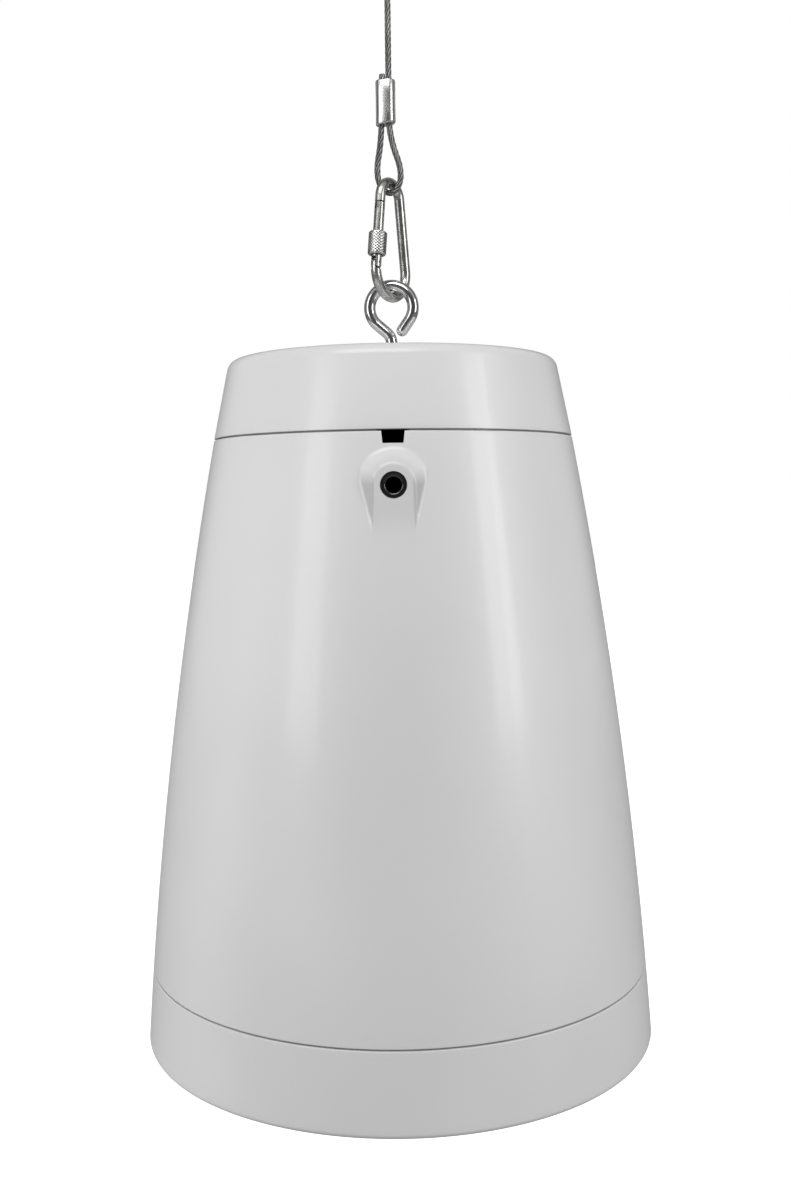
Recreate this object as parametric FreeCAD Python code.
import FreeCAD, Part
import math
import os

# Pendant loudspeaker hung on a wire rope: a moulded bell on an eye bolt and a snap hook.
# Millimetres. The origin is the inside top of the rope's upper loop, +Z is up and -Y is the front.

# Wire rope and its pressed ferrules
ROPE_D = 3.0
ROPE_PAIR = 3.2              # distance between the two ropes in a ferrule
LOOP_R = 5.75                # centreline radius of each loop's round end
LOOP_LENGTH = 31.7           # ferrule mouth to the loop's outermost centreline
FERRULE_LENGTH = 21.6
FERRULE_WIDTH = 8.4
FERRULE_DEPTH = 5.7
FERRULE_EDGE = 0.6
FERRULE_FIT = 0.06
BETWEEN_FERRULES = 44.6
LOOP_TURN = -15.0            # degrees about Z from the X-Z plane

# Snap hook
HOOK_WIRE = 5.0
HOOK_LENGTH = 60.0
HOOK_TOP_R = 8.0             # centreline radii of the pear's two ends
HOOK_BOTTOM_R = 12.5
HOOK_TURN = 55.0
LINK_GAP = 0.35              # between two hung wires
PIVOT_ABOVE_BEND = 1.0       # gate pivot beyond the end of the bottom bend
GATE_LENGTH = 29.4           # pivot to tip
GATE_GAP = 0.4               # tip to nose
TANG_THICK = 1.8
TANG_R = 2.4
TANG_SIDE_GAP = 0.3
TANG_NECK = 3.4              # pivot to the full round wire
PIN_R = 1.1
PIN_FIT = 0.05
TONGUE_THICK = 1.6
TONGUE_WIDTH = 3.0
TONGUE_LENGTH = 3.0
TONGUE_GAP = 0.35
SPRING_R = 1.0
SPRING_LENGTH = 9.0
SPRING_GAP = 0.25
SLEEVE_D = 9.0
SLEEVE_LENGTH = 11.2
SLEEVE_CHAMFER = 1.0
SLEEVE_BORE_GAP = 0.3
SLEEVE_START = 3.6           # pivot to the sleeve's foot
SLEEVE_FLUTES = 20
FLUTE_DEPTH = 0.35

# Eye bolt and its nuts
EYE_WIRE = 5.6
EYE_R = 10.75
EYE_TURN = -7.0
EYE_ABOVE_CROWN = 23.35      # eye centre above the cap's crown
EYE_NECK_R = 7.0             # bend between shank and ring
EYE_NECK_TURN = 49.0
EYE_OPEN_ANGLE = -35.0       # where the free end leaves the ring
EYE_FREE_RUN = 6.2
SHANK_D = 6.0
SHANK_BELOW_CROWN = 31.0
THREAD_ABOVE_CROWN = 6.3
SHANK_FIT = 0.05
NUT_FLATS = 10.0
NUT_HEIGHT = 4.6
WASHER_D = 12.0
WASHER_THICK = 1.2

# Bell: one shallow arc from the top seam to the rim
BELL_HEIGHT = 296.0
BELL_TOP_R = 87.9
RIM_R = 126.9
BELL_BULGE = 4.45            # how far the arc stands out of its chord
WALL = 3.0
SEAM = 0.8                   # height of the shadow groove at each seam
LOWER_SEAM = 37.5
RIM_ROUND = 2.5

# Cap over the terminal space
CAP_HEIGHT = 38.0
CAP_TAPER = 7.9              # top seam to the shoulder, inward
CAP_CROWN = 3.0
CAP_ROUND = 6.0
CAP_WALL = 2.5
LIP_DEPTH = 6.4
LIP_THICK = 2.2
LIP_GAP = 0.25
LEDGE_WIDTH = 5.0
LEDGE_THICK = 2.6
HOLE_GAP = 0.3

# Boss with its insert, and the cable notch
BOSS_STANDS = 2.91           # face proud of the bell at the insert
BOSS_R = 9.3
BOSS_DROP = 23.6             # top seam to the insert's axis
BOSS_FLARE = 1.07            # spread of the sides for each millimetre of depth
BOSS_DEPTH = 8.0
BOSS_FOOT = 22.0             # axis to the foot of the flat face
INSERT_D = 11.5
INSERT_LENGTH = 12.0
INSERT_BORE_D = 6.8
INSERT_CHAMFER = 0.9
INSERT_RECESS = 0.3
NOTCH_WIDTH = 10.0
NOTCH_FOOT_WIDTH = 9.0
NOTCH_DEPTH = 5.3
NOTCH_LIP_WIDTH = 14.0

# Deck and what stands on it
DECK_DEPTH = 44.0            # top seam to the deck
DECK_THICK = 3.0
BRIDGE_SPAN = 50.0
BRIDGE_FOOT = 16.0
BRIDGE_WIDTH = 30.0
BRIDGE_THICK = 2.0
BRIDGE_BEND = 3.0
BRIDGE_SCREW_EDGE = 6.0
BRIDGE_BELOW_CROWN = 18.0    # crown to the bridge's upper face
SCREW_D = 4.0
SCREW_HEAD_D = 7.5
SCREW_HEAD = 2.4
PILLAR_D = 9.0
PILLAR_LENGTH = 9.0
PILOT_END = 1.0              # solid end under a screw hole

# Terminal strip, cable clamp and line transformer on the deck
TERMINAL_WAYS = 5
TERMINAL_PITCH = 8.0
TERMINAL_DEPTH = 11.0
TERMINAL_HEIGHT = 12.0
TERMINAL_Y = -44.0
TERMINAL_SCREW_D = 4.4
TERMINAL_STEP = 4.0
TERMINAL_SLOT = 1.0
CLAMP_LENGTH = 28.0
CLAMP_WIDTH = 7.0
CLAMP_THICK = 3.0
CLAMP_SCREW_EDGE = 4.5
CLAMP_Y = -66.0
CLAMP_POST = 5.0
CORE_WIDTH = 48.0
CORE_HEIGHT = 40.0
CORE_DEPTH = 20.0
CORE_LIMB = 8.0
CORE_Y = 34.5
COIL_OVERHANG = 7.0
COIL_GAP = 0.5
STRAP_THICK = 1.2
STRAP_WIDTH = 14.0
STRAP_FOOT = 11.0
GROMMET_X = -46.0
GROMMET_Y = 30.0
GROMMET_BORE_R = 2.6
GROMMET_HOLE_R = 5.0
GROMMET_LIP = 1.8

# Crossover under the deck
BOARD_X = 92.0
BOARD_Y = 58.0
BOARD_THICK = 1.6
BOARD_DROP = 10.0
BOARD_CENTRE_Y = -32.0
STANDOFF_D = 7.0
STANDOFF_INSET = 6.0
INDUCTOR_D = 32.0
INDUCTOR_HOLE_D = 14.0
INDUCTOR_HEIGHT = 15.0
CAPACITOR_D = 14.0
CAPACITOR_LENGTH = 30.0
RESISTOR_SIZE = (26.0, 9.0, 9.0)
RESISTOR_EDGE = 3.5          # board's edge to the resistor
PART_GAP = 1.0               # half the space between two parts on the board

# Wadding
MAT_THICK = 10.0
MAT_GAP = 0.4
MAT_BOTTOM = 94.0
MAT_BELOW_DECK = 24.0

# Lower ring: one moulding with the baffle board
BAFFLE_FACE = 22.0
BAFFLE_THICK = 4.0
SPIGOT_TOP = 44.0
SPIGOT_THICK = 3.0
SPIGOT_GAP = 0.3
RING_WALL = 3.4
STOP_THICK = 3.0
RING_STEP = 1.0              # the ring's wall is this much thicker above the board
PILLAR_INSET = 14.09         # bell's outside to the pillars' axes, at the stop
PILLAR_COUNT = 6
LOWER_PILLAR_LENGTH = 24.0
RIB_THICK = 2.6
SEAL_SECTION = 1.2
GRILLE_SEAT = 9.0
GRILLE_GAP = 0.4
GRILLE_SEAT_WIDTH = 6.0
GRILLE_THICK = 1.2
GRILLE_RECESS = 3.0
GRILLE_EDGE = 4.9            # rim to the grille's opening
GRILLE_PITCH = 17.0
GRILLE_HOLE = 13.4
GRILLE_PLAIN = 9.0           # unpierced border
CLOTH_THICK = 0.6

# Woofer, facing down
WOOFER_INSET = 43.9          # rim to the woofer's edge
FRAME_THICK = 1.6
FRAME_FLANGE = 10.0
FRAME_GASKET = 1.5
DRIVER_SCREW_EDGE = 4.5
DRIVER_SCREW_COUNT = 6
SURROUND_FLAT = 3.0          # glued rims of the surround
CONE_THICK = 0.8
CONE_DEPTH = 25.0
ROLL_R = 5.0
FRAME_DEPTH = 38.0
FRAME_SEAT_R = 44.0
FRAME_WINDOWS = 6
SHELF_DROP = 11.0            # spider shelf to the frame's seat
SPIDER_EDGE = 4.0            # seat's radius beyond the spider's
SPIDER_THICK = 0.6
PLATE_THICK = 6.0
PLATE_EDGE = 2.0
MAGNET_OVERHANG = 1.0
MAGNET_HOLE_R = 20.0
MAGNET_HEIGHT = 16.0
COIL_FORMER_R = 12.7
COIL_FORMER_THICK = 0.3
COIL_WIRE_THICK = 0.7
COIL_WIRE_LENGTH = 10.0
GAP_RUNNING = 0.7
POST_R = 4.0
TWEETER_R = 18.0
TWEETER_DEPTH = 12.0
TWEETER_FACE = 18.0          # above the rim
DOME_R = 11.0
DOME_RISE = 3.5
TWEETER_WALL = 1.0

# Bass port
PORT_BORE_R = 9.0
PORT_WALL = 2.0
PORT_LENGTH = 70.0
PORT_INSET = 28.9            # rim to the port's axis
PORT_FLANGE = 3.0
PORT_FLANGE_THICK = 1.6

# Places worked out from the sizes above
ROPE_R = ROPE_D / 2
HOOK_R = HOOK_WIRE / 2
EYE_WIRE_R = EYE_WIRE / 2
UPPER_LOOP_Z = ROPE_R
UPPER_FERRULE_TOP = UPPER_LOOP_Z - LOOP_LENGTH
UPPER_FERRULE_FOOT = UPPER_FERRULE_TOP - FERRULE_LENGTH
LOWER_FERRULE_TOP = UPPER_FERRULE_FOOT - BETWEEN_FERRULES
LOWER_FERRULE_FOOT = LOWER_FERRULE_TOP - FERRULE_LENGTH
LOWER_LOOP_Z = LOWER_FERRULE_FOOT - LOOP_LENGTH
HOOK_TOP_Z = LOWER_LOOP_Z + ROPE_R + HOOK_R + LINK_GAP
HOOK_BOTTOM_Z = HOOK_TOP_Z - (HOOK_LENGTH - HOOK_WIRE)
EYE_TOP_Z = HOOK_BOTTOM_Z + HOOK_R + EYE_WIRE_R + LINK_GAP
EYE_Z = EYE_TOP_Z - EYE_R
CAP_TOP_R = BELL_TOP_R - CAP_TAPER
CROWN_HEIGHT = BELL_HEIGHT + CAP_HEIGHT + CAP_CROWN
RIM_Z = EYE_Z - EYE_ABOVE_CROWN - CROWN_HEIGHT
BRIDGE_TOP = CROWN_HEIGHT - BRIDGE_BELOW_CROWN
BOSS_Z = BELL_HEIGHT - BOSS_DROP
DECK_TOP = BELL_HEIGHT - DECK_DEPTH
MAT_TOP = DECK_TOP - MAT_BELOW_DECK
GRILLE_OPENING_R = RIM_R - GRILLE_EDGE
PORT_RING_R = RIM_R - PORT_INSET
FRAME_R = RIM_R - WOOFER_INSET
CUTOUT_R = FRAME_R - FRAME_FLANGE
DRIVER_SCREW_RING = FRAME_R - DRIVER_SCREW_EDGE
CONE_R = CUTOUT_R - 2 * ROLL_R - SURROUND_FLAT
SPIDER_R = FRAME_SEAT_R - SPIDER_EDGE
PLATE_R = FRAME_SEAT_R - PLATE_EDGE
MAGNET_R = FRAME_SEAT_R + MAGNET_OVERHANG
LEDGE_TOP = BELL_HEIGHT + SEAM / 2 - LIP_DEPTH
LOWER_LEDGE_TOP = SPIGOT_TOP + STOP_THICK
BAFFLE_BACK = BAFFLE_FACE + BAFFLE_THICK
FRAME_BACK = BAFFLE_FACE - FRAME_GASKET
FRAME_FACE = FRAME_BACK - FRAME_THICK
FRAME_SEAT = FRAME_BACK + FRAME_DEPTH
PLATE_BACK = FRAME_SEAT + PLATE_THICK
MAGNET_BACK = PLATE_BACK + MAGNET_HEIGHT
YOKE_BACK = MAGNET_BACK + PLATE_THICK
CONE_NECK = FRAME_FACE + CONE_DEPTH
WINDING_R = COIL_FORMER_R + COIL_FORMER_THICK + COIL_WIRE_THICK
FORMER_R = COIL_FORMER_R + COIL_FORMER_THICK
SCREW_R = SCREW_D / 2
ORIGIN = FreeCAD.Vector(0, 0, 0)
UP = FreeCAD.Vector(0, 0, 1)


def vec(x, y, z=0.0):
    return FreeCAD.Vector(x, y, z)


def save(name, shape):
    if not shape.isValid():
        print(name, "is not valid")
    shape.exportStep(os.path.join("parts", name + ".step"))
    print(name, len(shape.Solids), "solids,", round(shape.Volume), "mm3")


def cylinder(radius, height, x=0.0, y=0.0, z=0.0, axis=UP):
    return Part.makeCylinder(radius, height, vec(x, y, z), axis)


def box(x_size, y_size, z_size, x=0.0, y=0.0, z=0.0):
    return Part.makeBox(x_size, y_size, z_size, vec(x - x_size / 2, y - y_size / 2, z))


def tube(outer, inner, height, x=0.0, y=0.0, z=0.0):
    return cylinder(outer, height, x, y, z).cut(cylinder(inner, height, x, y, z))


def line(a, b):
    return Part.makeLine(a, b)


def arc(a, middle, b):
    return Part.Arc(a, middle, b).toShape()


def turned(edges):
    wire = Part.Wire(Part.__sortEdges__(edges))
    return Part.Face(wire).revolve(ORIGIN, UP, 360)


def polygon(points):
    return [line(a, b) for a, b in zip(points, points[1:] + points[:1])]


def turned_polygon(points):
    return turned(polygon([vec(r, 0, z) for r, z in points]))


def ring_of(shape, count, first=0.0):
    copies = []
    for number in range(count):
        copy = shape.copy()
        copy.rotate(ORIGIN, UP, first + number * 360.0 / count)
        copies.append(copy)
    return copies


def round_route(points, radii):
    """Straight runs joined by tangent arcs, with one radius for each inner point."""
    edges = []
    start = points[0]
    for before, corner, after, radius in zip(points, points[1:], points[2:], radii):
        arrive = (corner - before).normalize()
        leave = (after - corner).normalize()
        half_turn = arrive.getAngle(leave) / 2
        tangent = radius * math.tan(half_turn)
        first = corner - arrive * tangent
        last = corner + leave * tangent
        inward = (leave - arrive).normalize()
        middle = corner + inward * (radius / math.cos(half_turn) - radius)
        if first.distanceToPoint(start) > 0.01:
            edges.append(line(start, first))
        else:
            first = start
        edges.append(arc(first, middle, last))
        start = last
    edges.append(line(start, points[-1]))
    return edges


def wire_along(edges, radius):
    path = Part.Wire(edges)
    first = edges[0]
    direction = first.tangentAt(first.FirstParameter)
    start = first.valueAt(first.FirstParameter)
    section = Part.Wire(Part.Circle(start, direction, radius).toShape())
    return path.makePipeShell([section], True, False)


def bell_radius(height):
    """Outer radius of the bell at a height above the rim."""
    lean = math.atan2(RIM_R - BELL_TOP_R, BELL_HEIGHT)
    chord = math.hypot(RIM_R - BELL_TOP_R, BELL_HEIGHT)
    curve_r = chord ** 2 / (8 * BELL_BULGE) + BELL_BULGE / 2
    centre_out = (RIM_R + BELL_TOP_R) / 2 - (curve_r - BELL_BULGE) * math.cos(lean)
    centre_up = BELL_HEIGHT / 2 - (curve_r - BELL_BULGE) * math.sin(lean)
    return centre_out + math.sqrt(curve_r ** 2 - (height - centre_up) ** 2)


BOSS_Y = -bell_radius(BOSS_Z) - BOSS_STANDS
PILLAR_RING_R = bell_radius(LOWER_LEDGE_TOP) - PILLAR_INSET


def bell_point(height, inward=0.0):
    return vec(bell_radius(height) - inward, 0, height)


def bell_arc(low, high, inward=0.0):
    return arc(bell_point(low, inward), bell_point((low + high) / 2, inward), bell_point(high, inward))


# The rope's line in its own plane: across, height, and the bend radius at each inner point.
# Each loop is three bends the size of its round end.
ROPE_ROUTE = [
    (-3.2, -93.4, 0.0),
    (-3.2, -123.0, 80.0),
    (-6.18, -147.07, LOOP_R),
    (0.53, -150.85, LOOP_R),
    (6.59, -146.08, LOOP_R),
    (0.0, -123.0, 35.0),
    (0.0, -25.2, 35.0),
    (6.59, -2.12, LOOP_R),
    (0.53, 2.65, LOOP_R),
    (-6.18, -1.13, LOOP_R),
    (-3.2, -25.2, 80.0),
    (-3.2, -54.8, 0.0),
]


def rope():
    points = [vec(across, 0, height) for across, height, bend in ROPE_ROUTE]
    radii = [bend for across, height, bend in ROPE_ROUTE[1:-1]]
    edges = round_route(points, radii)
    shape = wire_along(edges, ROPE_R)
    length = sum(edge.Length for edge in edges)
    print("rope", round(length, 1), "mm long, bends", radii)
    print("rope volume over section times length", round(shape.Volume / (math.pi * ROPE_R ** 2 * length), 4))
    shape.rotate(ORIGIN, UP, LOOP_TURN)
    return shape


def ferrule(foot):
    half = (FERRULE_WIDTH - FERRULE_DEPTH) / 2
    round_r = FERRULE_DEPTH / 2
    centre = -ROPE_PAIR / 2
    shape = box(2 * half, FERRULE_DEPTH, FERRULE_LENGTH, centre, 0, foot)
    for side in (-half, half):
        shape = shape.fuse(cylinder(round_r, FERRULE_LENGTH, centre + side, 0, foot))
    shape = shape.removeSplitter()
    ends = [edge for edge in shape.Edges if edge.BoundBox.ZLength < FERRULE_EDGE]
    shape = shape.makeFillet(FERRULE_EDGE, ends)
    for across in (0, -ROPE_PAIR):
        shape = shape.cut(cylinder(ROPE_R + FERRULE_FIT, FERRULE_LENGTH, across, 0, foot))
    shape.rotate(ORIGIN, UP, LOOP_TURN)
    return shape


# Snap hook: its plane is X-Z here, its bottom bend's centreline touches the origin
HOOK_CENTRES = HOOK_LENGTH - HOOK_WIRE - HOOK_TOP_R - HOOK_BOTTOM_R
HOOK_LEAN = math.degrees(math.asin((HOOK_BOTTOM_R - HOOK_TOP_R) / HOOK_CENTRES))
LEAN_SIN = math.sin(math.radians(HOOK_LEAN))
LEAN_COS = math.cos(math.radians(HOOK_LEAN))
GATE_SIDE = vec(LEAN_SIN, 0, LEAN_COS)
BEND_END = vec(-HOOK_BOTTOM_R * LEAN_COS, 0, HOOK_BOTTOM_R * (1 + LEAN_SIN))
PIVOT = BEND_END + GATE_SIDE * PIVOT_ABOVE_BEND
SLOT_TOP = TANG_R + SPRING_GAP


def hang_hook(shape):
    """Turn a piece of the hook to its plane and lift it to its place on the rope."""
    shape.rotate(ORIGIN, UP, HOOK_TURN)
    shape.translate(vec(0, 0, HOOK_BOTTOM_Z))
    return shape


def on_gate(shape):
    """Lean a piece made along Z from the pivot, and set it on the gate's line."""
    shape.rotate(ORIGIN, vec(0, 1, 0), HOOK_LEAN)
    shape.translate(PIVOT)
    return shape


def snap_hook():
    top_centre = vec(0, 0, HOOK_BOTTOM_R + HOOK_CENTRES)
    bottom_centre = vec(0, 0, HOOK_BOTTOM_R)
    top_left = top_centre + vec(-HOOK_TOP_R * LEAN_COS, 0, HOOK_TOP_R * LEAN_SIN)
    top_right = top_centre + vec(HOOK_TOP_R * LEAN_COS, 0, HOOK_TOP_R * LEAN_SIN)
    bottom_right = bottom_centre + vec(HOOK_BOTTOM_R * LEAN_COS, 0, HOOK_BOTTOM_R * LEAN_SIN)
    nose = PIVOT + GATE_SIDE * (GATE_LENGTH + GATE_GAP)
    edges = [
        line(nose, top_left),
        arc(top_left, top_centre + vec(0, 0, HOOK_TOP_R), top_right),
        line(top_right, bottom_right),
        arc(bottom_right, ORIGIN, BEND_END),
        line(BEND_END, PIVOT + GATE_SIDE * TANG_R),
    ]
    shape = wire_along(edges, HOOK_R)
    wide = HOOK_WIRE * 2
    beside = box(wide, wide, TANG_NECK + TANG_R * 2, 0, 0, -TANG_NECK)
    beside = beside.cut(box(wide, TANG_THICK, TANG_NECK + TANG_R * 2, 0, 0, -TANG_NECK))
    above = box(wide, wide, TANG_R * 2, 0, 0, 0)
    above = above.cut(cylinder(TANG_R, wide, 0, -wide / 2, 0, vec(0, 1, 0)))
    pin_hole = cylinder(PIN_R, wide, 0, -wide / 2, 0, vec(0, 1, 0))
    for waste in (beside, above, pin_hole):
        shape = shape.cut(on_gate(waste))
    tongue_foot = GATE_LENGTH + GATE_GAP - TONGUE_LENGTH
    tongue = box(TONGUE_WIDTH, TONGUE_THICK, TONGUE_LENGTH + HOOK_R / 2, 0, 0, tongue_foot)
    return hang_hook(shape.fuse(on_gate(tongue)))


def hook_gate():
    across = vec(0, 1, 0)
    foot = cylinder(HOOK_R, HOOK_R, 0, 0, -HOOK_R)
    foot = foot.common(cylinder(HOOK_R, HOOK_WIRE, 0, -HOOK_R, 0, across))
    bar = cylinder(HOOK_R, GATE_LENGTH)
    rim = [edge for edge in bar.Edges if edge.BoundBox.ZMin > GATE_LENGTH - GATE_GAP]
    shape = bar.makeChamfer(GATE_GAP, rim).fuse(foot).removeSplitter()
    fork = TANG_THICK + 2 * TANG_SIDE_GAP
    tip = TONGUE_THICK + 2 * TONGUE_GAP
    tip_depth = TONGUE_LENGTH - GATE_GAP + 2 * TONGUE_GAP
    shape = shape.cut(box(HOOK_WIRE * 2, fork, HOOK_R + SLOT_TOP, 0, 0, -HOOK_R))
    shape = shape.cut(box(HOOK_WIRE * 2, tip, tip_depth, 0, 0, GATE_LENGTH - tip_depth))
    shape = shape.cut(cylinder(PIN_R + PIN_FIT, HOOK_WIRE * 2, 0, -HOOK_WIRE, 0, across))
    shape = shape.cut(cylinder(SPRING_R + PIN_FIT, SPRING_LENGTH, 0, 0, SLOT_TOP))
    return hang_hook(on_gate(shape))


def gate_pin():
    half = math.sqrt(HOOK_R ** 2 - PIN_R ** 2)
    return hang_hook(on_gate(cylinder(PIN_R, 2 * half, 0, -half, 0, vec(0, 1, 0))))


def gate_spring():
    return hang_hook(on_gate(cylinder(SPRING_R, SPRING_LENGTH - SPRING_GAP, 0, 0, SLOT_TOP)))


def lock_sleeve():
    outer = SLEEVE_D / 2
    inner = HOOK_R + SLEEVE_BORE_GAP
    top = SLEEVE_START + SLEEVE_LENGTH
    shape = turned_polygon([
        (inner, SLEEVE_START), (outer - SLEEVE_CHAMFER, SLEEVE_START),
        (outer, SLEEVE_START + SLEEVE_CHAMFER), (outer, top - SLEEVE_CHAMFER),
        (outer - SLEEVE_CHAMFER, top), (inner, top),
    ])
    flute_r = 2 * FLUTE_DEPTH
    flute_x = outer + flute_r - FLUTE_DEPTH
    flute = cylinder(flute_r, SLEEVE_LENGTH, flute_x, 0, SLEEVE_START)
    shape = shape.cut(Part.makeCompound(ring_of(flute, SLEEVE_FLUTES)))
    return hang_hook(on_gate(shape))


# Eye bolt and the nuts on it. From here on heights are above the rim, and seat() lifts them.
EYE_HEIGHT = CROWN_HEIGHT + EYE_ABOVE_CROWN


def seat(shape):
    shape.translate(vec(0, 0, RIM_Z))
    return shape


def eye_bolt():
    neck = math.radians(EYE_NECK_TURN)
    opening = math.radians(EYE_OPEN_ANGLE)
    centre = vec(0, 0, EYE_HEIGHT)
    joins_ring = centre + vec(-EYE_R * math.cos(neck), 0, -EYE_R * math.sin(neck))
    corner_height = joins_ring.z - EYE_R * math.cos(neck) / math.tan(neck)
    leaves_ring = centre + vec(EYE_R * math.cos(opening), 0, EYE_R * math.sin(opening))
    free_end = leaves_ring + vec(math.sin(opening), 0, -math.cos(opening)) * EYE_FREE_RUN
    low = CROWN_HEIGHT - SHANK_BELOW_CROWN
    edges = round_route([vec(0, 0, low), vec(0, 0, corner_height), joins_ring], [EYE_NECK_R])
    edges.append(arc(joins_ring, centre + vec(0, 0, EYE_R), leaves_ring))
    edges.append(line(leaves_ring, free_end))
    shape = wire_along(edges, EYE_WIRE_R)
    shape = shape.fuse(Part.makeSphere(EYE_WIRE_R, free_end))
    shank = cylinder(SHANK_D / 2, SHANK_BELOW_CROWN + THREAD_ABOVE_CROWN, 0, 0, low)
    shape = shape.fuse(shank).removeSplitter()
    shape.rotate(ORIGIN, UP, EYE_TURN)
    return seat(shape)


def hex_nut(foot):
    corner_r = NUT_FLATS / 2 / math.cos(math.radians(30))
    corners = [vec(corner_r * math.cos(math.radians(60 * n)), corner_r * math.sin(math.radians(60 * n)), foot)
               for n in range(6)]
    shape = Part.Face(Part.Wire(polygon(corners))).extrude(vec(0, 0, NUT_HEIGHT))
    chamfer = corner_r - NUT_FLATS / 2
    shape = shape.common(turned_polygon([
        (0, foot), (NUT_FLATS / 2, foot), (corner_r, foot + chamfer),
        (corner_r, foot + NUT_HEIGHT - chamfer), (NUT_FLATS / 2, foot + NUT_HEIGHT), (0, foot + NUT_HEIGHT),
    ]))
    return shape.cut(cylinder(SHANK_D / 2 + SHANK_FIT, NUT_HEIGHT, 0, 0, foot))


def washer(foot):
    return tube(WASHER_D / 2, SHANK_D / 2 + SHANK_FIT, WASHER_THICK, 0, 0, foot)


# Cap, bell and insert
BELL_TOP = BELL_HEIGHT - SEAM / 2
BELL_FOOT = LOWER_SEAM + SEAM / 2
CAP_FOOT = BELL_HEIGHT + SEAM / 2
LIP_R = BELL_TOP_R - WALL - LIP_GAP
DECK_FACE = DECK_TOP - DECK_THICK
BRIDGE_SCREW_X = BRIDGE_SPAN / 2 + BRIDGE_FOOT / 2
BRIDGE_SCREW_Y = BRIDGE_WIDTH / 2 - BRIDGE_SCREW_EDGE
STRAP_SCREW_X = CORE_WIDTH / 2 + STRAP_THICK + STRAP_FOOT / 2
CLAMP_SCREW_X = CLAMP_LENGTH / 2 - CLAMP_SCREW_EDGE
SCREW_HOLE_R = SCREW_R + SHANK_FIT


def capped(inward, round_r):
    """The cap's outline moved inward, turned solid and rounded at its upper edge."""
    shoulder = vec(CAP_TOP_R - inward, 0, BELL_HEIGHT + CAP_HEIGHT - inward)
    crown = vec(0, 0, CROWN_HEIGHT - inward)
    dome_r = (shoulder.x ** 2 + CAP_CROWN ** 2) / (2 * CAP_CROWN)
    half_drop = dome_r - math.sqrt(dome_r ** 2 - shoulder.x ** 2 / 4)
    foot = vec(BELL_TOP_R - inward, 0, CAP_FOOT)
    shape = turned([
        line(vec(0, 0, CAP_FOOT), foot),
        line(foot, shoulder),
        arc(shoulder, vec(shoulder.x / 2, 0, crown.z - half_drop), crown),
        line(crown, vec(0, 0, CAP_FOOT)),
    ])
    edge = [e for e in shape.Edges if abs(e.BoundBox.ZMax - shoulder.z) < 0.01 and e.BoundBox.ZLength < 0.01]
    return shape.makeFillet(round_r, edge)


def top_cap():
    shape = capped(0, CAP_ROUND).cut(capped(CAP_WALL, CAP_ROUND - CAP_WALL))
    lip_inner = LIP_R - LIP_THICK
    lip = tube(LIP_R, lip_inner, LIP_DEPTH, 0, 0, CAP_FOOT - LIP_DEPTH)
    gap = box(NOTCH_LIP_WIDTH, BELL_TOP_R, LIP_DEPTH, 0, -BELL_TOP_R, CAP_FOOT - LIP_DEPTH)
    band = tube(BELL_TOP_R - CAP_WALL / 2, lip_inner, LIP_DEPTH, 0, 0, CAP_FOOT)
    shape = shape.fuse([lip.cut(gap), band]).removeSplitter()
    return seat(shape.cut(cylinder(SHANK_D / 2 + HOLE_GAP, CAP_HEIGHT, 0, 0, CROWN_HEIGHT - CAP_HEIGHT / 2)))


def bell_shell():
    lip_foot = LEDGE_TOP
    ledge_r = bell_radius(lip_foot) - WALL - LEDGE_WIDTH
    slope_foot = lip_foot - LEDGE_THICK - LEDGE_WIDTH
    stop_r = bell_radius(LOWER_LEDGE_TOP) - WALL - LEDGE_WIDTH
    inner_top = bell_point(BELL_TOP, WALL)
    inner_foot = bell_point(BELL_FOOT, WALL)
    return turned([
        bell_arc(BELL_FOOT, BELL_TOP),
        line(bell_point(BELL_TOP), inner_top),
        bell_arc(lip_foot, BELL_TOP, WALL),
        line(bell_point(lip_foot, WALL), vec(ledge_r, 0, lip_foot)),
        line(vec(ledge_r, 0, lip_foot), vec(ledge_r, 0, lip_foot - LEDGE_THICK)),
        line(vec(ledge_r, 0, lip_foot - LEDGE_THICK), bell_point(slope_foot, WALL)),
        bell_arc(DECK_TOP, slope_foot, WALL),
        line(bell_point(DECK_TOP, WALL), vec(0, 0, DECK_TOP)),
        line(vec(0, 0, DECK_TOP), vec(0, 0, DECK_FACE)),
        line(vec(0, 0, DECK_FACE), bell_point(DECK_FACE, WALL)),
        bell_arc(LOWER_LEDGE_TOP, DECK_FACE, WALL),
        line(bell_point(LOWER_LEDGE_TOP, WALL), vec(stop_r, 0, LOWER_LEDGE_TOP)),
        line(vec(stop_r, 0, LOWER_LEDGE_TOP), vec(stop_r, 0, SPIGOT_TOP)),
        line(vec(stop_r, 0, SPIGOT_TOP), bell_point(SPIGOT_TOP, WALL)),
        bell_arc(BELL_FOOT, SPIGOT_TOP, WALL),
        line(inner_foot, bell_point(BELL_FOOT)),
    ])


def arch(spread, depth):
    """Outline of the boss at a depth behind its flat face."""
    r = BOSS_R + spread
    y = BOSS_Y + depth
    low = BOSS_Z - BOSS_FOOT - spread
    return Part.Wire([
        line(vec(-r, y, low), vec(-r, y, BOSS_Z)),
        arc(vec(-r, y, BOSS_Z), vec(0, y, BOSS_Z + r), vec(r, y, BOSS_Z)),
        line(vec(r, y, BOSS_Z), vec(r, y, low)),
        line(vec(r, y, low), vec(-r, y, low)),
    ])


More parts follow.
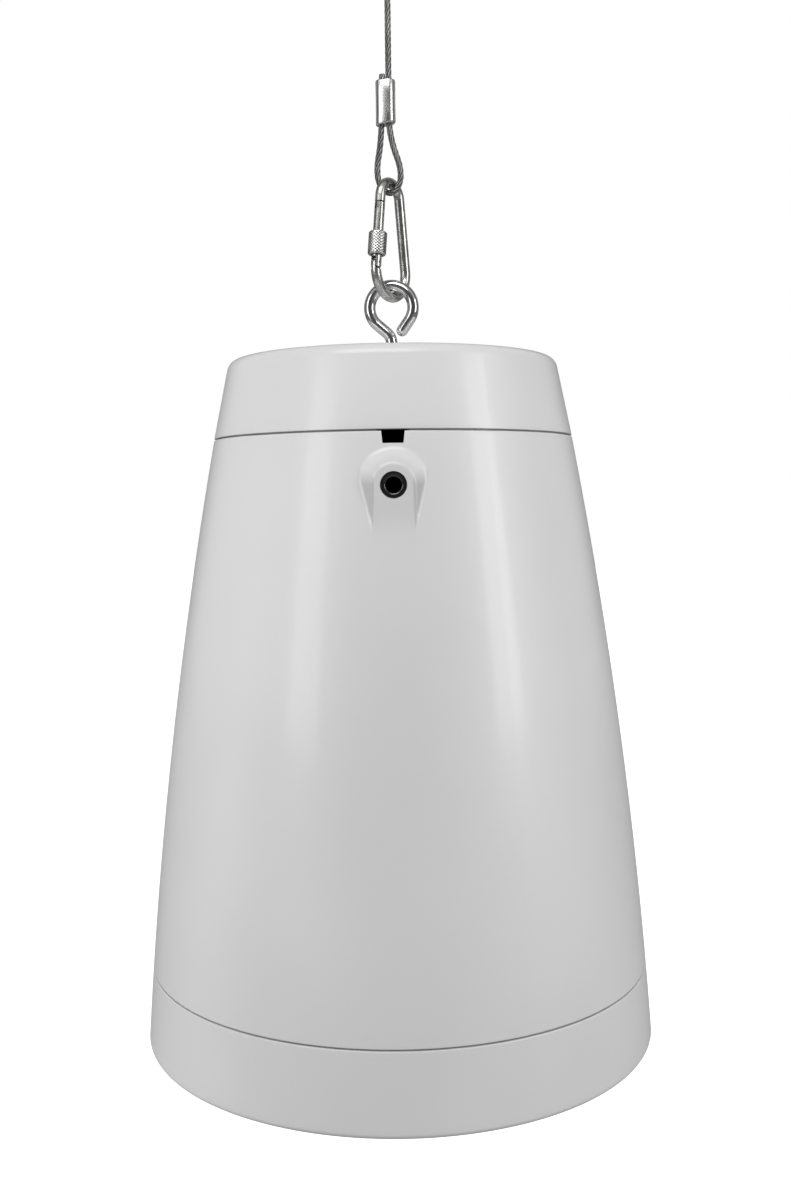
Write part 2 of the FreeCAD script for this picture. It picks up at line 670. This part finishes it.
def boss():
    inside = turned([
        bell_arc(DECK_TOP - BOSS_FOOT, BELL_TOP, WALL),
        line(bell_point(BELL_TOP, WALL), vec(0, 0, BELL_TOP)),
        line(vec(0, 0, BELL_TOP), vec(0, 0, DECK_TOP - BOSS_FOOT)),
        line(vec(0, 0, DECK_TOP - BOSS_FOOT), bell_point(DECK_TOP - BOSS_FOOT, WALL)),
    ])
    flared = Part.makeLoft([arch(0, 0), arch(BOSS_DEPTH * BOSS_FLARE, BOSS_DEPTH)], True, True)
    lug_length = INSERT_LENGTH + INSERT_RECESS
    lug = cylinder(BOSS_R - INSERT_CHAMFER, lug_length, 0, BOSS_Y + WALL, BOSS_Z, vec(0, 1, 0))
    return flared.cut(inside).fuse(lug)


def insert_hole():
    depth = INSERT_LENGTH + INSERT_RECESS
    return cylinder(INSERT_D / 2 + SHANK_FIT, depth, 0, BOSS_Y, BOSS_Z, vec(0, 1, 0))


def notch():
    top = NOTCH_WIDTH / 2
    foot = NOTCH_FOOT_WIDTH / 2
    low = BELL_TOP - NOTCH_DEPTH
    outline = [vec(-top, -BELL_TOP_R - WALL, BELL_TOP), vec(-foot, -BELL_TOP_R - WALL, low),
               vec(foot, -BELL_TOP_R - WALL, low), vec(top, -BELL_TOP_R - WALL, BELL_TOP)]
    return Part.Face(Part.Wire(polygon(outline))).extrude(vec(0, 4 * WALL, 0))


def deck_screw_places():
    places = [(x, y) for x in (-BRIDGE_SCREW_X, BRIDGE_SCREW_X) for y in (-BRIDGE_SCREW_Y, BRIDGE_SCREW_Y)]
    return places + [(-STRAP_SCREW_X, CORE_Y), (STRAP_SCREW_X, CORE_Y)]


def standoff_places():
    x = BOARD_X / 2 - STANDOFF_INSET
    y = BOARD_Y / 2 - STANDOFF_INSET
    return [(a, BOARD_CENTRE_Y + b) for a in (-x, x) for b in (-y, y)]


def lower_pillar():
    pillar = cylinder(PILLAR_D / 2, LOWER_PILLAR_LENGTH, PILLAR_RING_R, 0, LOWER_LEDGE_TOP)
    reach = bell_radius(LOWER_LEDGE_TOP + LOWER_PILLAR_LENGTH) - WALL / 2 - PILLAR_RING_R
    rib = box(reach, RIB_THICK, LOWER_PILLAR_LENGTH, PILLAR_RING_R + reach / 2, 0, LOWER_LEDGE_TOP)
    return pillar.fuse(rib)


def housing():
    shape = bell_shell().fuse(boss())
    pillar_foot = DECK_FACE - PILLAR_LENGTH
    extra = [cylinder(PILLAR_D / 2, PILLAR_LENGTH, x, y, pillar_foot) for x, y in deck_screw_places()]
    board_face = DECK_FACE - BOARD_DROP
    extra += [cylinder(STANDOFF_D / 2, BOARD_DROP, x, y, board_face) for x, y in standoff_places()]
    clamp_xs = (-CLAMP_SCREW_X, CLAMP_SCREW_X)
    extra += [cylinder(CLAMP_WIDTH / 2, CLAMP_POST, x, CLAMP_Y, DECK_TOP) for x in clamp_xs]
    extra += ring_of(lower_pillar(), PILLAR_COUNT)
    shape = shape.fuse(extra)
    holes = [cylinder(SCREW_HOLE_R, DECK_THICK + PILLAR_LENGTH - PILOT_END, x, y,
                      pillar_foot + PILOT_END)
             for x, y in deck_screw_places()]
    holes += [cylinder(SCREW_HOLE_R, BOARD_DROP, x, y, board_face) for x, y in standoff_places()]
    holes += [cylinder(SCREW_HOLE_R, CLAMP_POST + DECK_THICK, x, CLAMP_Y, DECK_FACE) for x in clamp_xs]
    pilot = cylinder(SCREW_HOLE_R, LOWER_PILLAR_LENGTH - 2 * PILOT_END, PILLAR_RING_R, 0, LOWER_LEDGE_TOP)
    holes += ring_of(pilot, PILLAR_COUNT)
    holes += [cylinder(GROMMET_HOLE_R, DECK_THICK, GROMMET_X, GROMMET_Y, DECK_FACE), insert_hole(), notch()]
    return seat(shape.cut(holes).removeSplitter())


def threaded_insert():
    shape = tube(INSERT_D / 2, INSERT_BORE_D / 2, INSERT_LENGTH)
    mouth_r = INSERT_BORE_D / 2 + INSERT_CHAMFER
    shape = shape.cut(Part.makeCone(mouth_r, INSERT_BORE_D / 2, INSERT_CHAMFER))
    shape.rotate(ORIGIN, vec(1, 0, 0), -90)
    shape.translate(vec(0, BOSS_Y + INSERT_RECESS, BOSS_Z))
    return seat(shape)


# Lower ring with the baffle board, its seal and the grille
RING_TOP = LOWER_SEAM - SEAM / 2
SPIGOT_R = bell_radius(SPIGOT_TOP) - WALL - SPIGOT_GAP
SPIGOT_INNER = SPIGOT_R - SPIGOT_THICK
GRILLE_R = GRILLE_OPENING_R - GRILLE_GAP
RING_INNER = bell_radius(GRILLE_SEAT) - RING_WALL
SEAT_INNER = GRILLE_OPENING_R - GRILLE_SEAT_WIDTH


def baffle():
    spigot_top = SPIGOT_TOP - SEAL_SECTION
    ring = turned([
        bell_arc(0, RING_TOP),
        line(bell_point(RING_TOP), vec(SPIGOT_R, 0, RING_TOP)),
    ] + [line(vec(*a), vec(*b)) for a, b in chain([
        (SPIGOT_R, 0, RING_TOP), (SPIGOT_R, 0, spigot_top), (SPIGOT_INNER, 0, spigot_top),
        (SPIGOT_INNER, 0, RING_TOP - SPIGOT_THICK), (RING_INNER - RING_STEP, 0, RING_TOP - 2 * SPIGOT_THICK),
        (RING_INNER - RING_STEP, 0, BAFFLE_BACK), (CUTOUT_R, 0, BAFFLE_BACK), (CUTOUT_R, 0, BAFFLE_FACE),
        (RING_INNER, 0, BAFFLE_FACE), (RING_INNER, 0, GRILLE_SEAT + STOP_THICK),
        (SEAT_INNER, 0, GRILLE_SEAT + STOP_THICK), (SEAT_INNER, 0, GRILLE_SEAT),
        (GRILLE_OPENING_R, 0, GRILLE_SEAT), (GRILLE_OPENING_R, 0, 0), (RIM_R, 0, 0),
    ])])
    rim = [e for e in ring.Edges if e.BoundBox.ZMax < 0.01 and e.BoundBox.XMax > RIM_R - 0.1]
    ring = ring.makeFillet(RIM_ROUND, rim)
    pillar_length = LOWER_LEDGE_TOP - BAFFLE_BACK
    pillars = ring_of(cylinder(PILLAR_D / 2, pillar_length, PILLAR_RING_R, 0, BAFFLE_BACK), PILLAR_COUNT)
    passing = cylinder(SCREW_HOLE_R, pillar_length + BAFFLE_THICK, PILLAR_RING_R, 0, BAFFLE_FACE)
    holes = ring_of(passing, PILLAR_COUNT)
    port_hole = cylinder(PORT_BORE_R + PORT_WALL + SHANK_FIT, BAFFLE_THICK, 0, PORT_RING_R, BAFFLE_FACE)
    driver_hole = cylinder(SCREW_HOLE_R, BAFFLE_THICK, DRIVER_SCREW_RING, 0, BAFFLE_FACE)
    holes += [port_hole] + ring_of(driver_hole, DRIVER_SCREW_COUNT)
    return seat(ring.fuse(pillars).cut(holes))


def chain(points):
    return list(zip(points, points[1:]))


def baffle_seal():
    """Flat ring between the spigot's top and the bell's stop."""
    inner = bell_radius(LOWER_LEDGE_TOP) - WALL - LEDGE_WIDTH
    return seat(tube(SPIGOT_R, inner, SEAL_SECTION, 0, 0, SPIGOT_TOP - SEAL_SECTION))


def grille_places():
    rows = int(GRILLE_R / GRILLE_PITCH) + 1
    row_step = GRILLE_PITCH * math.sqrt(3) / 2
    reach = GRILLE_R - GRILLE_PLAIN - GRILLE_HOLE / 2
    places = []
    for row in range(-2 * rows, 2 * rows + 1):
        for column in range(-2 * rows, 2 * rows + 1):
            x = (column + row % 2 / 2) * GRILLE_PITCH
            y = row * row_step
            if math.hypot(x, y) < reach:
                places.append((x, y))
    return places


def grille():
    floor = GRILLE_SEAT
    shape = tube(GRILLE_R, GRILLE_R - GRILLE_THICK, floor - GRILLE_RECESS, 0, 0, GRILLE_RECESS)
    disc = Part.Wire(Part.makeCircle(GRILLE_R - GRILLE_THICK, vec(0, 0, GRILLE_RECESS)))
    corner_r = GRILLE_HOLE / 2 / math.cos(math.radians(30))
    wires = [disc]
    for x, y in grille_places():
        corners = [vec(x + corner_r * math.sin(math.radians(60 * n)),
                       y + corner_r * math.cos(math.radians(60 * n)), GRILLE_RECESS) for n in range(6)]
        wires.append(Part.Wire(polygon(corners)))
    sheet = Part.Face(wires).extrude(vec(0, 0, GRILLE_THICK))
    return seat(shape.fuse(sheet).removeSplitter())


def grille_cloth():
    radius = GRILLE_R - GRILLE_THICK - GRILLE_GAP
    return seat(cylinder(radius, CLOTH_THICK, 0, 0, GRILLE_RECESS + GRILLE_THICK))


# Woofer
def frame_gasket():
    return seat(punched(tube(FRAME_R, CUTOUT_R, FRAME_GASKET, 0, 0, FRAME_BACK), FRAME_BACK, FRAME_GASKET))


def punched(shape, low, thick):
    return shape.cut(ring_of(cylinder(SCREW_HOLE_R, thick, DRIVER_SCREW_RING, 0, low), DRIVER_SCREW_COUNT))


def woofer_frame():
    t = FRAME_THICK
    wall_r = CUTOUT_R - 2 * t
    shelf = FRAME_SEAT - SHELF_DROP
    shape = turned_polygon([
        (FRAME_R, FRAME_FACE), (FRAME_R, FRAME_BACK), (wall_r + t, FRAME_BACK),
        (FRAME_SEAT_R + t, shelf + t), (FRAME_SEAT_R + t, FRAME_SEAT),
        (MAGNET_HOLE_R, FRAME_SEAT), (MAGNET_HOLE_R, FRAME_SEAT - t), (FRAME_SEAT_R, FRAME_SEAT - t),
        (FRAME_SEAT_R, shelf + t), (SPIDER_R - 4 * t, shelf + t), (SPIDER_R - 4 * t, shelf),
        (FRAME_SEAT_R, shelf), (wall_r, FRAME_BACK), (wall_r - t, FRAME_FACE),
    ])
    width = math.pi * wall_r / FRAME_WINDOWS
    window = box(2 * FRAME_R, width, shelf - FRAME_BACK - 3 * t, FRAME_R, 0, FRAME_BACK + 1.5 * t)
    window = window.cut(cylinder(SPIDER_R, FRAME_DEPTH, 0, 0, FRAME_BACK))
    shape = shape.cut(ring_of(window, FRAME_WINDOWS, 180.0 / FRAME_WINDOWS))
    return seat(punched(shape, FRAME_FACE, t))


def cone():
    t = CONE_THICK
    outer = vec(CONE_R, 0, FRAME_FACE)
    neck = vec(FORMER_R, 0, CONE_NECK)
    sag = vec((CONE_R + FORMER_R) / 2 - 2 * t, 0, (FRAME_FACE + CONE_NECK) / 2 - 3 * t)
    lift = vec(0, 0, t)
    shape = turned([
        arc(outer, sag, neck), line(neck, neck + lift),
        arc(outer + lift, sag + lift, neck + lift), line(outer, outer + lift),
    ])
    return seat(shape)


def surround():
    """Half roll between the cone's edge and the frame."""
    t = CONE_THICK
    inner_flat = CONE_R - 2 * t
    roll_start = CONE_R + t
    roll_middle = roll_start + ROLL_R
    roll_end = roll_middle + ROLL_R
    flat_end = CUTOUT_R + t
    z = FRAME_FACE - t
    shape = turned([
        line(vec(inner_flat, 0, z), vec(roll_start, 0, z)),
        arc(vec(roll_start, 0, z), vec(roll_middle, 0, z - ROLL_R), vec(roll_end, 0, z)),
        line(vec(roll_end, 0, z), vec(flat_end, 0, z)),
        line(vec(flat_end, 0, z), vec(flat_end, 0, z + t)),
        line(vec(flat_end, 0, z + t), vec(roll_end - t, 0, z + t)),
        arc(vec(roll_end - t, 0, z + t), vec(roll_middle, 0, z + t - ROLL_R + t / 2),
            vec(roll_start + t, 0, z + t)),
        line(vec(roll_start + t, 0, z + t), vec(inner_flat, 0, z + t)),
        line(vec(inner_flat, 0, z + t), vec(inner_flat, 0, z)),
    ])
    return seat(shape)


def spider():
    """Corrugated disc from the former to the frame's shelf."""
    t = SPIDER_THICK
    low = FRAME_SEAT - SHELF_DROP - t
    waves = 3
    step = (SPIDER_R - 4 * t - FORMER_R - 2 * t) / (2 * waves)
    under = [(FORMER_R + 2 * t + n * step, low - (n % 2) * 2 * t) for n in range(2 * waves + 1)]
    under = [(FORMER_R, low)] + under + [(SPIDER_R, low)]
    over = [(r, z + t) for r, z in reversed(under)]
    return seat(turned_polygon(under + over))


def voice_coil():
    middle = FRAME_SEAT + PLATE_THICK / 2
    low = CONE_NECK - CONE_THICK
    high = middle + COIL_WIRE_LENGTH / 2
    former = tube(FORMER_R, COIL_FORMER_R, high - low, 0, 0, low)
    winding = tube(WINDING_R, FORMER_R, COIL_WIRE_LENGTH, 0, 0, high - COIL_WIRE_LENGTH)
    return seat(former.fuse(winding).removeSplitter())


def top_plate():
    return seat(tube(PLATE_R, WINDING_R + GAP_RUNNING, PLATE_THICK, 0, 0, FRAME_SEAT))


def magnet():
    return seat(tube(MAGNET_R, MAGNET_HOLE_R, MAGNET_HEIGHT, 0, 0, PLATE_BACK))


def yoke():
    """Back plate with the pole, bored for the tweeter's post."""
    pole = cylinder(COIL_FORMER_R - GAP_RUNNING, YOKE_BACK - FRAME_SEAT, 0, 0, FRAME_SEAT)
    shape = cylinder(PLATE_R, PLATE_THICK, 0, 0, MAGNET_BACK).fuse(pole)
    bore = cylinder(POST_R + SHANK_FIT, YOKE_BACK - FRAME_SEAT, 0, 0, FRAME_SEAT)
    return seat(shape.cut(bore).removeSplitter())


def tweeter_post():
    low = TWEETER_FACE + TWEETER_DEPTH
    return seat(cylinder(POST_R, YOKE_BACK - low, 0, 0, low))


def tweeter_cup():
    deep = TWEETER_FACE + TWEETER_DEPTH
    wall = DOME_R + TWEETER_WALL
    shape = turned_polygon([
        (0, deep), (wall, deep), (TWEETER_R - 2 * TWEETER_WALL, deep - TWEETER_DEPTH / 2),
        (TWEETER_R, TWEETER_FACE + 2 * TWEETER_WALL),
        (TWEETER_R, TWEETER_FACE), (DOME_R + 2 * TWEETER_WALL, TWEETER_FACE),
        (DOME_R, TWEETER_FACE + 3 * TWEETER_WALL),
        (DOME_R, TWEETER_FACE + TWEETER_DEPTH / 2), (0, TWEETER_FACE + TWEETER_DEPTH / 2),
    ])
    return seat(shape)


def tweeter_dome():
    base = TWEETER_FACE + TWEETER_DEPTH / 2
    edge = DOME_R - HOLE_GAP
    sphere_r = (edge ** 2 + DOME_RISE ** 2) / (2 * DOME_RISE)
    ball = Part.makeSphere(sphere_r, vec(0, 0, base - DOME_RISE + sphere_r))
    return seat(ball.common(cylinder(edge, 2 * DOME_RISE, 0, 0, base - 2 * DOME_RISE)))


def port_tube():
    outer = PORT_BORE_R + PORT_WALL
    face = BAFFLE_FACE - PORT_FLANGE_THICK
    shape = turned_polygon([
        (PORT_BORE_R + PORT_WALL, face), (outer + PORT_FLANGE, face), (outer + PORT_FLANGE, BAFFLE_FACE),
        (outer, BAFFLE_FACE), (outer, face + PORT_LENGTH), (PORT_BORE_R, face + PORT_LENGTH),
        (PORT_BORE_R, face + PORT_WALL),
    ])
    shape.translate(vec(0, PORT_RING_R, 0))
    return seat(shape)


# Screws: pan heads pointing up are made here, those pointing down are turned over
def screw(length, x, y, seat_height, head_up=True):
    edge = SCREW_HEAD / 3
    head_r = SCREW_HEAD_D / 2
    shape = turned_polygon([
        (0, -length), (SCREW_R, -length), (SCREW_R, 0), (head_r, 0),
        (head_r, SCREW_HEAD - edge), (head_r - edge, SCREW_HEAD), (0, SCREW_HEAD),
    ])
    slot = box(SCREW_HEAD_D, SCREW_R / 2, SCREW_R / 2, 0, 0, SCREW_HEAD - SCREW_R / 2)
    shape = shape.cut(slot)
    if not head_up:
        shape.rotate(ORIGIN, vec(1, 0, 0), 180)
    shape.translate(vec(x, y, seat_height))
    return shape


def group(shapes):
    return seat(Part.makeCompound(shapes))


def bridge_screws():
    length = PILLAR_LENGTH
    seat_height = DECK_TOP + BRIDGE_THICK
    return group([screw(length, x, y, seat_height) for x, y in deck_screw_places()[:4]])


def transformer_screws():
    seat_height = DECK_TOP + STRAP_THICK
    return group([screw(PILLAR_LENGTH, x, y, seat_height) for x, y in deck_screw_places()[4:]])


def clamp_screws():
    seat_height = DECK_TOP + CLAMP_POST + CLAMP_THICK
    length = CLAMP_THICK + CLAMP_POST
    return group([screw(length, x, CLAMP_Y, seat_height) for x in (-CLAMP_SCREW_X, CLAMP_SCREW_X)])


def board_screws():
    seat_height = DECK_FACE - BOARD_DROP - BOARD_THICK
    length = BOARD_DROP
    return group([screw(length, x, y, seat_height, False) for x, y in standoff_places()])


def baffle_screws():
    length = LOWER_LEDGE_TOP - BAFFLE_FACE + LOWER_PILLAR_LENGTH / 2
    return group(ring_of(screw(length, PILLAR_RING_R, 0, BAFFLE_FACE, False), PILLAR_COUNT))


def driver_screws():
    one = screw(FRAME_GASKET + FRAME_THICK + BAFFLE_THICK, DRIVER_SCREW_RING, 0, FRAME_FACE, False)
    return group(ring_of(one, DRIVER_SCREW_COUNT))


# What stands on the deck
def suspension_bridge():
    t = BRIDGE_THICK
    half = BRIDGE_SPAN / 2
    outer = half + BRIDGE_FOOT
    outline = [(-outer, DECK_TOP), (-half + t, DECK_TOP), (-half + t, BRIDGE_TOP - t),
               (half - t, BRIDGE_TOP - t),
               (half - t, DECK_TOP), (outer, DECK_TOP), (outer, DECK_TOP + t), (half, DECK_TOP + t),
               (half, BRIDGE_TOP), (-half, BRIDGE_TOP), (-half, DECK_TOP + t), (-outer, DECK_TOP + t)]
    corners = [vec(x, -BRIDGE_WIDTH / 2, z) for x, z in outline]
    shape = Part.Face(Part.Wire(polygon(corners))).extrude(vec(0, BRIDGE_WIDTH, 0))
    bends = []
    for edge in shape.Edges:
        x = abs(edge.BoundBox.XMin)
        z = edge.BoundBox.ZMin
        at_foot = abs(x - half) < 0.01 and abs(z - DECK_TOP - t) < 0.01
        at_top = abs(x - half + t) < 0.01 and abs(z - BRIDGE_TOP + t) < 0.01
        if edge.BoundBox.YLength > BRIDGE_WIDTH / 2 and (at_foot or at_top):
            bends.append(edge)
    shape = shape.makeFillet(BRIDGE_BEND - t, bends)
    holes = [cylinder(SCREW_HOLE_R, 2 * t, x, y, DECK_TOP) for x, y in deck_screw_places()[:4]]
    holes.append(cylinder(SHANK_D / 2 + SHANK_FIT, 2 * t, 0, 0, BRIDGE_TOP - 1.5 * t))
    return seat(shape.cut(holes))


def bridge_nuts():
    return group([hex_nut(BRIDGE_TOP), hex_nut(BRIDGE_TOP - BRIDGE_THICK - NUT_HEIGHT)])


def terminal_block():
    width = TERMINAL_WAYS * TERMINAL_PITCH
    shape = box(width, TERMINAL_DEPTH, TERMINAL_HEIGHT, 0, TERMINAL_Y, DECK_TOP)
    step_y = TERMINAL_Y - TERMINAL_DEPTH / 2 + TERMINAL_STEP / 2
    step_z = DECK_TOP + TERMINAL_HEIGHT - TERMINAL_STEP
    shape = shape.cut(box(width, TERMINAL_STEP, TERMINAL_STEP, 0, step_y, step_z))
    for x in terminal_places():
        well = cylinder(TERMINAL_SCREW_D / 2 + SHANK_FIT, TERMINAL_HEIGHT, x, terminal_screw_y(), step_z)
        shape = shape.cut(well)
        entry_y = TERMINAL_Y - TERMINAL_DEPTH / 2
        entry_z = DECK_TOP + TERMINAL_STEP
        entry = cylinder(TERMINAL_PITCH / 4, TERMINAL_STEP, x, entry_y, entry_z, vec(0, 1, 0))
        shape = shape.cut(entry)
    return seat(shape)


def terminal_places():
    first = -(TERMINAL_WAYS - 1) * TERMINAL_PITCH / 2
    return [first + n * TERMINAL_PITCH for n in range(TERMINAL_WAYS)]


def terminal_screw_y():
    return TERMINAL_Y + TERMINAL_STEP / 2


def terminal_screws():
    height = TERMINAL_STEP - TERMINAL_SLOT
    low = DECK_TOP + TERMINAL_HEIGHT - TERMINAL_STEP
    screws = []
    for x in terminal_places():
        head = cylinder(TERMINAL_SCREW_D / 2, height, x, terminal_screw_y(), low)
        slot_foot = low + height - TERMINAL_SLOT
        slot = box(TERMINAL_SCREW_D, TERMINAL_SLOT, TERMINAL_SLOT, x, terminal_screw_y(), slot_foot)
        screws.append(head.cut(slot))
    return group(screws)


def cable_clamp():
    low = DECK_TOP + CLAMP_POST
    shape = box(CLAMP_LENGTH - CLAMP_WIDTH, CLAMP_WIDTH, CLAMP_THICK, 0, CLAMP_Y, low)
    for side in (-1, 1):
        x = side * (CLAMP_LENGTH - CLAMP_WIDTH) / 2
        shape = shape.fuse(cylinder(CLAMP_WIDTH / 2, CLAMP_THICK, x, CLAMP_Y, low))
        shape = shape.cut(cylinder(SCREW_HOLE_R, CLAMP_THICK, side * CLAMP_SCREW_X, CLAMP_Y, low))
    return seat(shape.removeSplitter())


def transformer_core():
    shape = box(CORE_WIDTH, CORE_DEPTH, CORE_HEIGHT, 0, CORE_Y, DECK_TOP)
    window = (CORE_WIDTH - 4 * CORE_LIMB) / 2
    for side in (-1, 1):
        x = side * (CORE_LIMB + window / 2)
        shape = shape.cut(box(window, CORE_DEPTH, CORE_HEIGHT - 2 * CORE_LIMB, x, CORE_Y, DECK_TOP + CORE_LIMB))
    return seat(shape)


def transformer_coil():
    window = (CORE_WIDTH - 4 * CORE_LIMB) / 2
    height = CORE_HEIGHT - 2 * CORE_LIMB - 2 * COIL_GAP
    low = DECK_TOP + CORE_LIMB + COIL_GAP
    width = 2 * CORE_LIMB + 2 * window - 2 * COIL_GAP
    shape = box(width, CORE_DEPTH + 2 * COIL_OVERHANG, height, 0, CORE_Y, low)
    upright = [e for e in shape.Edges if e.BoundBox.ZLength > height / 2]
    shape = shape.makeFillet(COIL_OVERHANG / 2, upright)
    return seat(shape.cut(box(2 * CORE_LIMB, CORE_DEPTH, height, 0, CORE_Y, low)))


def transformer_strap():
    t = STRAP_THICK
    half = CORE_WIDTH / 2
    high = DECK_TOP + CORE_HEIGHT
    shape = box(CORE_WIDTH + 2 * t, STRAP_WIDTH, t, 0, CORE_Y, high)
    for side in (-1, 1):
        shape = shape.fuse(box(t, STRAP_WIDTH, CORE_HEIGHT, side * (half + t / 2), CORE_Y, DECK_TOP))
        foot = box(STRAP_FOOT, STRAP_WIDTH, t, side * (half + t + STRAP_FOOT / 2), CORE_Y, DECK_TOP)
        shape = shape.fuse(foot).cut(cylinder(SCREW_HOLE_R, t, side * STRAP_SCREW_X, CORE_Y, DECK_TOP))
    return seat(shape.removeSplitter())


def lead_grommet():
    lip = GROMMET_LIP
    hole = GROMMET_HOLE_R - SHANK_FIT
    shape = turned_polygon([
        (GROMMET_BORE_R, DECK_FACE - lip), (hole + lip, DECK_FACE - lip), (hole + lip, DECK_FACE),
        (hole, DECK_FACE), (hole, DECK_TOP), (hole + lip, DECK_TOP),
        (hole + lip, DECK_TOP + lip), (GROMMET_BORE_R, DECK_TOP + lip),
    ])
    shape.translate(vec(GROMMET_X, GROMMET_Y, 0))
    return seat(shape)


# Crossover, hanging under the deck
BOARD_LOW = DECK_FACE - BOARD_DROP - BOARD_THICK


def crossover_board():
    shape = box(BOARD_X, BOARD_Y, BOARD_THICK, 0, BOARD_CENTRE_Y, BOARD_LOW)
    return seat(shape.cut([cylinder(SCREW_HOLE_R, BOARD_THICK, x, y, BOARD_LOW) for x, y in standoff_places()]))


def inductors():
    y = BOARD_CENTRE_Y - BOARD_Y / 2 + INDUCTOR_D / 2 + 2 * PART_GAP
    low = BOARD_LOW - INDUCTOR_HEIGHT
    x = INDUCTOR_D / 2 + PART_GAP
    return group([tube(INDUCTOR_D / 2, INDUCTOR_HOLE_D / 2, INDUCTOR_HEIGHT, side, y, low) for side in (-x, x)])


def capacitors():
    y = BOARD_CENTRE_Y + BOARD_Y / 2 - CAPACITOR_D / 2 - PART_GAP
    low = BOARD_LOW - CAPACITOR_D / 2
    along = vec(1, 0, 0)
    starts = (-CAPACITOR_LENGTH - PART_GAP, PART_GAP)
    return group([cylinder(CAPACITOR_D / 2, CAPACITOR_LENGTH, x, y, low, along) for x in starts])


def resistor():
    x_size, y_size, z_size = RESISTOR_SIZE
    x = BOARD_X / 2 - RESISTOR_EDGE - y_size / 2
    return seat(box(y_size, x_size, z_size, x, BOARD_CENTRE_Y, BOARD_LOW - z_size))


def damping_mat():
    gap = WALL + MAT_GAP
    full = gap + MAT_THICK
    return seat(turned([
        bell_arc(MAT_BOTTOM, MAT_TOP, gap), bell_arc(MAT_BOTTOM, MAT_TOP, full),
        line(bell_point(MAT_TOP, gap), bell_point(MAT_TOP, full)),
        line(bell_point(MAT_BOTTOM, gap), bell_point(MAT_BOTTOM, full)),
    ]))


def main():
    os.makedirs("parts", exist_ok=True)
    save("rope", rope())
    save("lower_ferrule", ferrule(LOWER_FERRULE_FOOT))
    save("upper_ferrule", ferrule(UPPER_FERRULE_FOOT))
    save("eye_nut", seat(hex_nut(CROWN_HEIGHT + WASHER_THICK)))
    save("eye_washer", seat(washer(CROWN_HEIGHT)))
    makers = [
        snap_hook, hook_gate, gate_pin, gate_spring, lock_sleeve, eye_bolt, top_cap, housing, threaded_insert,
        baffle, baffle_seal, baffle_screws, grille, grille_cloth, suspension_bridge, bridge_nuts, bridge_screws,
        terminal_block, terminal_screws, cable_clamp, clamp_screws, transformer_core, transformer_coil,
        transformer_strap, transformer_screws, lead_grommet, crossover_board, board_screws, inductors,
        capacitors, resistor, damping_mat, woofer_frame, frame_gasket, driver_screws, cone, surround, spider,
        voice_coil, top_plate, magnet, yoke, tweeter_post, tweeter_cup, tweeter_dome, port_tube,
    ]
    for make in makers:
        save(make.__name__, make())


main()
